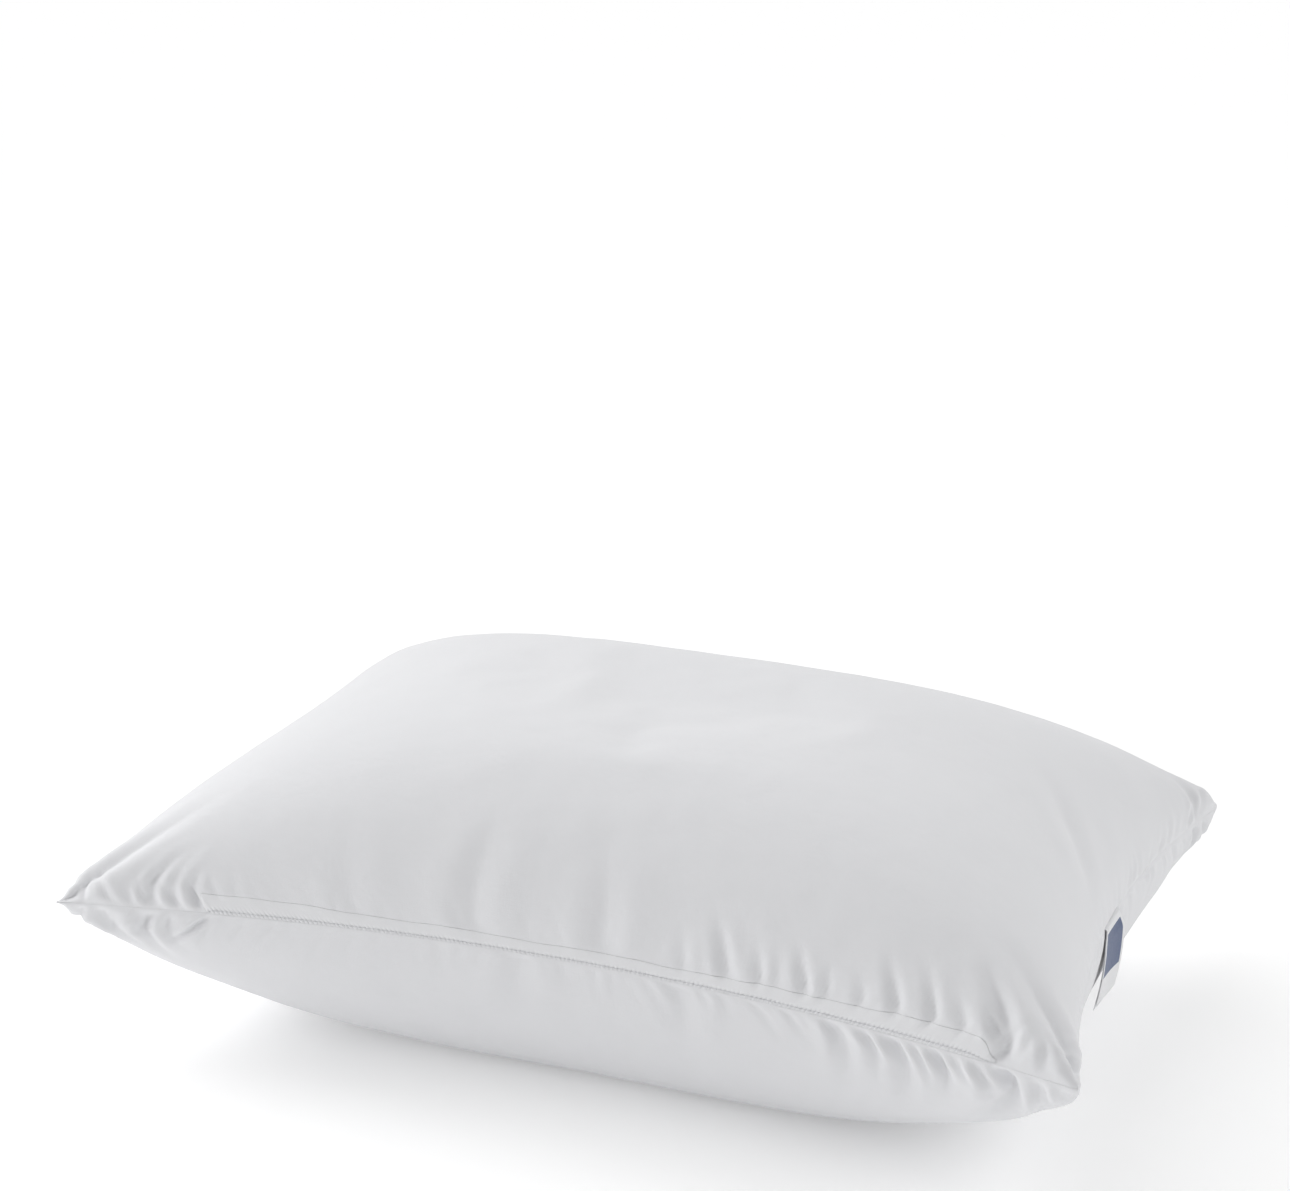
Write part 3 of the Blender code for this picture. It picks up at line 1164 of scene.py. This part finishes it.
@dataclass(frozen=True)
class StudioFloorFinish:
    """Matt white studio sweep."""

    name: str = "studio_floor"
    colour: tuple[float, float, float] = (0.95, 0.95, 0.95)
    glow: float = 0.17

    def build(self) -> bpy.types.Material:
        """The floor's material, nearly flat white with a slight tooth."""
        bench = NodeBench(self.name)
        place = bench.add("ShaderNodeTexCoord").outputs["Object"]
        bench.surface(
            Base_Color=(*self.colour, 1.0),
            Roughness=bench.remap(bench.noise(place, 30.0), 0.85, 0.95),
            Specular_IOR_Level=0.1,
            Emission_Color=(1.0, 1.0, 1.0, 1.0),
            Emission_Strength=self.glow,
        )
        return bench.material


# ---------------------------------------------------------------- pieces of the pillow


@dataclass
class PillowShell:
    """The top and bottom panels, each with its seam allowance turned in."""

    form: PillowForm
    cloth: CutCloth
    fine: FineCloth
    turn_depths: tuple[float, ...] = (0.0009, 0.0045)
    layer_gap: float = 0.00006

    def with_allowance(self, grid: np.ndarray, side: int) -> tuple[np.ndarray, np.ndarray]:
        """Adds the turned-in rows round a panel's grid.

        Args:
            grid: The panel's outer points.
            side: 1 for the top panel and -1 for the bottom.

        Returns:
            The wider grid and its cloth coordinates.
        """
        flat, seam = self.fine.flat, self.fine.points[Panel.TOP]
        half = np.array([self.cloth.length / 2, self.cloth.width / 2])
        one_row = ((1, 1), (1, 1), (0, 0))
        for depth in (*self.turn_depths, self.cloth.allowance):
            grid, flat, seam = (np.pad(part, one_row, mode="edge") for part in (grid, flat, seam))
            rim = np.ones(grid.shape[:2], bool)
            rim[1:-1, 1:-1] = False
            shrink = np.array([1 - depth / self.form.half_length, 1 - depth / self.form.half_width, 1.0])
            grown = (1 + 2 * depth / self.cloth.length, 1 + 2 * depth / self.cloth.width)
            grid[rim] = seam[rim] * shrink + np.array([0.0, 0.0, side * self.layer_gap])
            flat[rim] = np.clip(flat[rim], -half, half) * grown
        return grid, flat

    def make_panel(self, panel: Panel, name: str) -> bpy.types.Object:
        """One panel as a thin closed sheet.

        Args:
            panel: Which panel.
            name: The piece's name.

        Returns:
            The panel.
        """
        grid, flat = self.with_allowance(self.fine.points[panel], panel.value)
        normals = self.fine.normals(panel, grid)
        if panel is Panel.BOTTOM:
            grid, flat, normals = (np.flip(part, axis=0) for part in (grid, flat, normals))
        return make_sheet(name, grid, normals, flat, self.cloth.thickness)

    def build(self, finish: bpy.types.Material, lap: bpy.types.Object) -> list[bpy.types.Object]:
        """Makes and dresses both panels.

        Args:
            finish: The cloth's material.
            lap: The closing lap, which belongs to the bottom panel's cloth. Not used.

        Returns:
            The two panels.
        """
        made = []
        for panel, name in ((Panel.TOP, "pillow_top_cloth"), (Panel.BOTTOM, "pillow_bottom_cloth")):
            piece = self.make_panel(panel, name)
            piece.data.materials.append(finish)
            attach(piece, "pillow")
            made.append(piece)
        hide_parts("shell_top_panel")
        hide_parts("shell_bottom_panel")
        return made


@dataclass
class ClosingLap:
    """The folded edge of the bottom panel that stands over the top panel and is stitched down."""

    fine: FineCloth
    start: float = -0.251
    end: float = 0.2965
    height: float = 0.0092
    bulk: float = 0.00055
    stitch_rise: float = 0.0013
    stitch_pitch: float = 0.0031
    stitch_pinch: float = 0.00075
    pinch_width: float = 0.0010
    step: float = 0.0005
    start_taper: float = 0.007
    end_taper: float = 0.022
    edge_waver: float = 0.0004

    def section(self) -> list[tuple[float, float]]:
        """The lap's outline across the seam, as height and distance off the top panel.

        Returns:
            Points from the foot up the outer face, over the fold and down the back.
        """
        top, bulk = self.height, self.bulk
        return [
            (0.0, -0.6 * bulk),
            (0.0, 0.04 * bulk),
            (0.00018, 0.10 * bulk),
            (self.stitch_rise - 0.0005, 0.30 * bulk),
            (self.stitch_rise, 0.35 * bulk),
            (self.stitch_rise + 0.0006, 0.65 * bulk),
            (self.stitch_rise + 0.0015, 0.85 * bulk),
            (0.45 * top, 0.90 * bulk),
            (0.75 * top, 0.75 * bulk),
            (top - 0.0012, 0.55 * bulk),
            (top - 0.0004, 0.34 * bulk),
            (top, 0.15 * bulk),
            (top - 0.0004, 0.03 * bulk),
            (0.6 * top, -0.1 * bulk),
            (0.2 * top, -1.2 * bulk),
        ]

    def along(self) -> np.ndarray:
        """Even places along the lap."""
        return np.linspace(self.start, self.end, round((self.end - self.start) / self.step) + 1)

    def line_at(self, height: float, off: float) -> np.ndarray:
        """A line along the lap.

        Args:
            height: Distance up from the seam.
            off: Distance off the top panel.

        Returns:
            Its points.
        """
        places = self.along()
        swell = smooth_step((places - self.start + 0.001) / self.start_taper)
        swell = swell * smooth_step((self.end - places + 0.001) / self.end_taper)
        waves = np.sin(places * 61.0) + 0.6 * np.sin(places * 143.0 + 1.0)
        waver = self.edge_waver * waves * max(height, 0.0) / self.height
        phase = (places - self.start) / self.stitch_pitch
        hole = (0.5 + 0.5 * np.cos(2 * math.pi * phase)) ** 2
        by_stitches = math.exp(-(((height - self.stitch_rise) / self.pinch_width) ** 2))
        pinch = self.stitch_pinch * (0.12 + 0.88 * hole) * by_stitches * (off > 0)
        reach = height * (0.20 + 0.80 * swell) + waver
        levels = np.linspace(-0.002, self.height * 1.15, 24)
        table = [self.fine.on_top(places, float(level)) for level in levels]
        cell = np.clip(np.searchsorted(levels, reach) - 1, 0, len(levels) - 2)
        f = ((reach - levels[cell]) / (levels[1] - levels[0]))[:, None]
        points = np.stack([part[0] for part in table])
        normals = np.stack([part[1] for part in table])
        rows = np.arange(len(places))
        line = points[cell, rows] * (1 - f) + points[cell + 1, rows] * f
        facing = unit(normals[cell, rows] * (1 - f) + normals[cell + 1, rows] * f)
        return line + facing * ((off - pinch) * (0.25 + 0.75 * swell))[:, None]

    def build(self, finish: bpy.types.Material) -> bpy.types.Object:
        """Makes the lap as one closed folded strip.

        Args:
            finish: The cloth's material.

        Returns:
            The lap.
        """
        section = self.section()
        lines = [self.line_at(height, off) for height, off in section]
        grid = np.stack(lines, axis=1)
        rows, columns = grid.shape[0], len(section)
        numbers = np.arange(rows * columns).reshape(rows, columns)
        wrapped = np.concatenate([numbers, numbers[:, :1]], axis=1)
        quads = grid_quads(wrapped).tolist()
        caps = [numbers[0, ::-1].tolist(), numbers[-1].tolist()]
        around = np.array([height for height, _ in section]) + np.linspace(0.0, 0.004, columns)
        flat = np.stack(np.meshgrid(self.along(), around, indexing="ij"), axis=-1).reshape(-1, 2)
        lap = make_mesh("closing_lap", grid.reshape(-1, 3), quads + caps, flat)
        lap.data.materials.append(finish)
        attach(lap, "pillow")
        return lap


@dataclass
class SeamStitching:
    """Needle and bobbin thread of both seams, as lock stitches that dip into the cloth at every hole."""

    form: PillowForm
    fine: FineCloth
    lap: ClosingLap
    radius: float = 0.00026
    perimeter_pitch: float = 0.0032
    perimeter_inset: float = 0.0025
    rise: float = 0.00030
    dip: float = 0.00060
    bobbin_depth: float = 0.0011
    end_gap: float = 0.005
    closing_points: int = 6
    perimeter_points: int = 4

    def stitched(self, path: np.ndarray, facing: np.ndarray, pitch: float, each: int) -> np.ndarray:
        """A path with a stitch's rise and dip at an even pitch.

        Args:
            path: Points along the cloth.
            facing: The cloth's normal at each point.
            pitch: One stitch's length.
            each: Points a stitch.

        Returns:
            The thread's path.
        """
        steps = np.linalg.norm(np.diff(path, axis=0), axis=1)
        along = np.concatenate([[0.0], np.cumsum(steps)])
        stitches = round(along[-1] / pitch)
        wanted = np.linspace(0.0, along[-1], stitches * each + 1)
        phase = np.arange(stitches * each + 1) % each / each
        arch = self.rise + self.radius - self.dip * (2 * np.abs(phase - 0.5)) ** 6
        arch = np.where(phase == 0, self.rise - self.dip, arch)
        return read_at(wanted, along, path) + unit(read_at(wanted, along, facing)) * arch[:, None]

    def perimeter(self, side: int) -> tuple[np.ndarray, np.ndarray]:
        """The inset line round the three closed sides and both ends of the front.

        Args:
            side: 1 above the allowances and -1 below.

        Returns:
            Its points and normals.
        """
        rim = self.fine.points[Panel.TOP]
        lines = self.fine.flat[:, 0, 0]
        after, before = lines > self.lap.end + self.end_gap, lines < self.lap.start - self.end_gap
        sides = (rim[after, 0][:-1], rim[-1, :-1], rim[::-1, -1][:-1], rim[0, ::-1][:-1], rim[before, 0])
        loop = np.concatenate(sides)
        inset = self.perimeter_inset
        shrink = np.array([1 - inset / self.form.half_length, 1 - inset / self.form.half_width, 1.0])
        lift = np.array([0.0, 0.0, side * (PillowShell.layer_gap + CutCloth.thickness)])
        return loop * shrink + lift, np.tile([0.0, 0.0, float(side)], (len(loop), 1))

    def build(self, finish: bpy.types.Material) -> list[bpy.types.Object]:
        """Makes and dresses the four threads.

        Args:
            finish: The thread's material.

        Returns:
            The threads.
        """
        lap = self.lap
        behind, outward = self.fine.on_top(lap.along(), lap.stitch_rise)
        face = lap.line_at(lap.stitch_rise, 0.40 * lap.bulk)
        closing = (lap.stitch_pitch, self.closing_points)
        perimeter = (self.perimeter_pitch, self.perimeter_points)
        runs = {
            "closing_needle": (face, outward, *closing),
            "closing_bobbin": (behind - outward * self.bobbin_depth, -outward, *closing),
            "perimeter_needle": (*self.perimeter(1), *perimeter),
            "perimeter_bobbin": (*self.perimeter(-1), *perimeter),
        }
        made = []
        for run, (path, facing, pitch, each) in runs.items():
            thread = make_thread(f"{run}_stitches", self.stitched(path, facing, pitch, each), self.radius)
            thread.data.materials.append(finish)
            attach(thread, "pillow")
            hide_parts(f"{run}_thread")
            made.append(thread)
        return made


@dataclass
class FibreFill:
    """The loose fibre as one lumpy mass that follows the cloth from inside."""

    form: PillowForm
    fine: FineCloth
    side_room: float = 0.016
    skin: float = 0.009
    lump: float = 0.0035
    stride: int = 3

    def half(self, panel: Panel) -> np.ndarray:
        """One half of the mass, drawn in from its panel.

        Args:
            panel: The panel that it lies against.

        Returns:
            Its grid of points.
        """
        grid = self.fine.smooth[panel][:: self.stride, :: self.stride].copy()
        form = self.form
        lift = (grid[..., 2] - form.seam_height) / (panel.value * form.rise(panel))
        room = self.skin / form.rise(panel)
        x, y = grid[..., 0], grid[..., 1]
        lumps = np.sin(x * 71 + 2 * np.sin(y * 37)) * np.sin(y * 83 + 1.7 * np.sin(x * 29))
        lumps = (lumps + 0.5 * np.sin(x * 190 + 3 * np.sin(y * 90)) * np.sin(y * 170)) / 1.5
        sunk = self.lump * (0.5 + 0.5 * lumps) * np.clip(lift, 0.0, 1.0)
        grid[..., 0] *= 1 - self.side_room / form.half_length
        grid[..., 1] *= 1 - self.side_room / form.half_width
        grid[..., 2] = form.seam_height + (grid[..., 2] - form.seam_height) * (1 - room) - panel.value * sunk
        return grid

    def build(self, finish: bpy.types.Material) -> bpy.types.Object:
        """Makes the mass as one closed form.

        Args:
            finish: The fibre's material.

        Returns:
            The fibre.
        """
        top, bottom = self.half(Panel.TOP), self.half(Panel.BOTTOM)
        rows, columns = top.shape[:2]
        upper = np.arange(rows * columns).reshape(rows, columns)
        lower = upper.copy()
        inner = lower[1:-1, 1:-1]
        inner[...] = upper.size + np.arange(inner.size).reshape(inner.shape)
        points = np.concatenate([top.reshape(-1, 3), bottom[1:-1, 1:-1].reshape(-1, 3)])
        quads = np.concatenate([grid_quads(upper), grid_quads(lower)[:, ::-1]])
        fibre = make_mesh("fibre_mass", points, quads.tolist())
        fibre.data.materials.append(finish)
        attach(fibre, "pillow")
        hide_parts("fibre_fill")
        return fibre


def label_hinge() -> dict:
    """The frame's joint that both labels turn on."""
    return next(item for item in frame["joints"] if item["name"] == "label_flip")


@dataclass
class SewnLabel:
    """A woven tape caught in the short seam, which turns over and hangs from it."""

    name: str
    node: str
    slot: str
    finish: TapeFinish
    length: float
    off_seam: float
    curl: float
    twist: float
    turn_in: float = 0.012
    thickness: float = 0.00034
    tuck: float = 0.0022
    standoff: float = 0.0020
    bow_depth: float = 0.0012
    blend_drop: float = 0.0035
    cells: tuple[int, int] = (30, 52)

    def hang_line(self) -> tuple[np.ndarray, np.ndarray]:
        """The tape's line across the seam: out of it, over and down.

        Returns:
            Distances out from the seam and heights from it, one for each row.
        """
        arc = np.linspace(-self.tuck, self.length, self.cells[1] + 1)
        bend = smooth_step((arc + 0.0006) / 0.0028)
        slope = np.radians(90.0) * bend
        step = np.diff(arc, prepend=arc[0])
        out = np.cumsum(np.cos(slope) * step) - self.tuck + self.off_seam
        down = -np.cumsum(np.sin(slope) * step)
        share = np.clip(arc / self.length, 0.0, 1.0)
        return out + self.curl * share**2, down

    def make(self) -> bpy.types.Object:
        """The tape's mesh, hung from the joint's own line.

        Returns:
            The label.
        """
        joint = label_hinge()
        axis = -Vector(joint["axis"])
        origin = np.array(joint["pos_m"])
        low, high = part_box(self.node)
        width = high.y - low.y
        tangent = np.array(axis)
        outward, up = np.array([tangent[1], -tangent[0], 0.0]), np.array([0.0, 0.0, 1.0])
        seam = origin - outward * self.standoff
        out, down = self.hang_line()
        across = np.linspace(-width / 2, width / 2, self.cells[0] + 1)
        share = np.clip(-down / self.length, 0.0, 1.0)
        grid = np.empty((len(across), len(out), 3))
        turned = smooth_step(-down / self.turn_in)
        bow = self.bow_depth * np.sin(share * math.pi)
        for row, place in enumerate(across):
            swing = self.twist * (place / width + 0.35) * turned + bow * (2 * place / width) ** 2
            grid[row] = seam + tangent * place + np.outer(out + swing, outward) + np.outer(down, up)
        tape_rows = np.linspace(self.tuck, -self.length, len(out))
        flat = np.stack(np.meshgrid(across, tape_rows, indexing="ij"), axis=-1)
        normals = unit(np.cross(np.gradient(grid, axis=0), np.gradient(grid, axis=1)))
        return make_sheet(self.name, grid[::-1], normals[::-1], flat[::-1], -self.thickness)

    def build(self) -> bpy.types.Object:
        """Makes and dresses the label.

        Returns:
            The label.
        """
        label = self.make()
        label.data.materials.append(self.finish.build())
        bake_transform(label)
        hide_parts(self.node)
        return label


# ---------------------------------------------------------------- studio


@dataclass
class Studio:
    """White floor, even sky, two broad lights and a soft box on the left."""

    floor_size: float = 40.0
    sky: float = 0.45
    lamps: tuple[tuple[str, float, float, tuple[float, float, float]], ...] = (
        ("key_left", 1.05, 60.0, (-0.85, 0.28, 0.95)),
        ("rim_right", 0.98, 55.0, (0.85, 0.65, 0.80)),
    )
    key_power: float = 6.4
    key_size: float = 1.1
    key_place: tuple[float, float, float] = (-1.25, -0.55, 0.70)

    def add_floor(self) -> None:
        """Lays the floor that the pillow rests on."""
        reach = self.floor_size / 2
        turns = ((-1, -1), (1, -1), (1, 1), (-1, 1))
        corners = np.array([(x * reach, y * reach, 0.0) for x, y in turns])
        floor = make_mesh("studio_floor", corners, [[0, 1, 2, 3]])
        floor.data.materials.append(StudioFloorFinish().build())

    def add_sky(self) -> None:
        """Even white light from all round."""
        world = bpy.data.worlds.new("studio")
        world.use_nodes = True
        background = world.node_tree.nodes["Background"]
        background.inputs["Color"].default_value = (1.0, 1.0, 1.0, 1.0)
        background.inputs["Strength"].default_value = self.sky
        bpy.context.scene.world = world

    def add_lamps(self) -> None:
        """Broad light from the left and from behind on the right, and a soft box on the left."""
        for name, power, spread, direction in self.lamps:
            light = bpy.data.lights.new(name, "SUN")
            light.energy, light.angle = power, math.radians(spread)
            lamp = bpy.data.objects.new(name, light)
            lamp.rotation_euler = Vector(direction).to_track_quat("Z", "Y").to_euler()
            bpy.context.scene.collection.objects.link(lamp)
        light = bpy.data.lights.new("softbox_left", "AREA")
        light.energy, light.size = self.key_power, self.key_size
        softbox = bpy.data.objects.new("softbox_left", light)
        softbox.location = self.key_place
        from_pillow = Vector(self.key_place) - Vector((0.0, 0.0, 0.1))
        softbox.rotation_euler = from_pillow.to_track_quat("Z", "Y").to_euler()
        bpy.context.scene.collection.objects.link(softbox)

    def build(self) -> None:
        """Sets the whole studio up."""
        self.add_floor()
        self.add_sky()
        self.add_lamps()
        bpy.context.scene.view_settings.view_transform = "Standard"


@dataclass(frozen=True)
class Viewpoint:
    """Where the camera stands round the pillow and how it is turned."""

    azimuth: float = 19.2591
    elevation: float = 23.4779
    distance: float = 1.9608
    pivot: tuple[float, float, float] = (0.0, 0.0, 0.08)
    tilt_up: float = 5.8988
    turn_right: float = -0.6414
    roll: float = 1.5712
    lens: float = 79.42

    def build(self) -> None:
        """Adds the camera."""
        azimuth, elevation = math.radians(self.azimuth), math.radians(self.elevation)
        level = math.cos(elevation)
        back = Vector((math.sin(azimuth) * level, -math.cos(azimuth) * level, math.sin(elevation)))
        data = bpy.data.cameras.new("camera")
        data.lens = self.lens
        camera = bpy.data.objects.new("camera", data)
        bpy.context.scene.collection.objects.link(camera)
        aim = (-back).to_track_quat("-Z", "Y").to_matrix()
        tilt = Matrix.Rotation(math.radians(self.tilt_up), 3, "X")
        turn = Matrix.Rotation(math.radians(-self.turn_right), 3, "Y")
        roll = Matrix.Rotation(math.radians(self.roll), 3, "Z")
        place = Matrix.Translation(Vector(self.pivot) + back * self.distance)
        camera.matrix_world = place @ (aim @ tilt @ turn @ roll).to_4x4()
        bpy.context.scene.camera = camera


# ---------------------------------------------------------------- build


def sewn_labels() -> list[SewnLabel]:
    """The two labels of the short seam, the maker's in front of the care tape.

    Returns:
        Both labels, not built yet.
    """
    navy = (0.040, 0.080, 0.205)
    low, high = (-0.0160, -0.0365), (0.0160, -0.0045)
    front = TapeFinish("maker_label_tape", block=navy, block_low=low, block_high=high)
    plain = TapeFinish("care_label_tape")
    return [
        SewnLabel("woven_label", "maker_label", front.name, front, 0.055, 0.0004, -0.0030, 0.0042),
        SewnLabel("care_tape", "care_label", plain.name, plain, 0.059, -0.0004, -0.0042, 0.0030),
    ]


def main() -> None:
    """Builds the pillow piece by piece, then the studio."""
    logging.basicConfig(level=logging.INFO, format="%(name)s: %(message)s")
    cloth, form = CutCloth(), PillowForm.from_frame()
    LOG.info("form %s", form)
    filled = FilledBag(form, cloth).fill()
    LOG.info("bag filled")
    fine = FineCloth(cloth, filled)
    microfibre, thread = MicrofibreFinish().build(), ThreadFinish().build()
    fibre = FibreFill(form, fine).build(FibreFinish().build())
    LOG.info("fibre: %s", fibre.name)
    closing = ClosingLap(fine)
    layered = MicrofibreFinish("layered_microfibre", (0.822, 0.825, 0.840), (0.785, 0.788, 0.805))
    lap = closing.build(layered.build())
    LOG.info("closing lap: %s", lap.name)
    for panel in PillowShell(form, cloth, fine).build(microfibre, lap):
        LOG.info("panel: %s", panel.name)
    for run in SeamStitching(form, fine, closing).build(thread):
        LOG.info("stitching: %s", run.name)
    for label in sewn_labels():
        LOG.info("label: %s", label.build().name)
    Studio().build()
    Viewpoint().build()


if __name__ == "__main__":
    main()
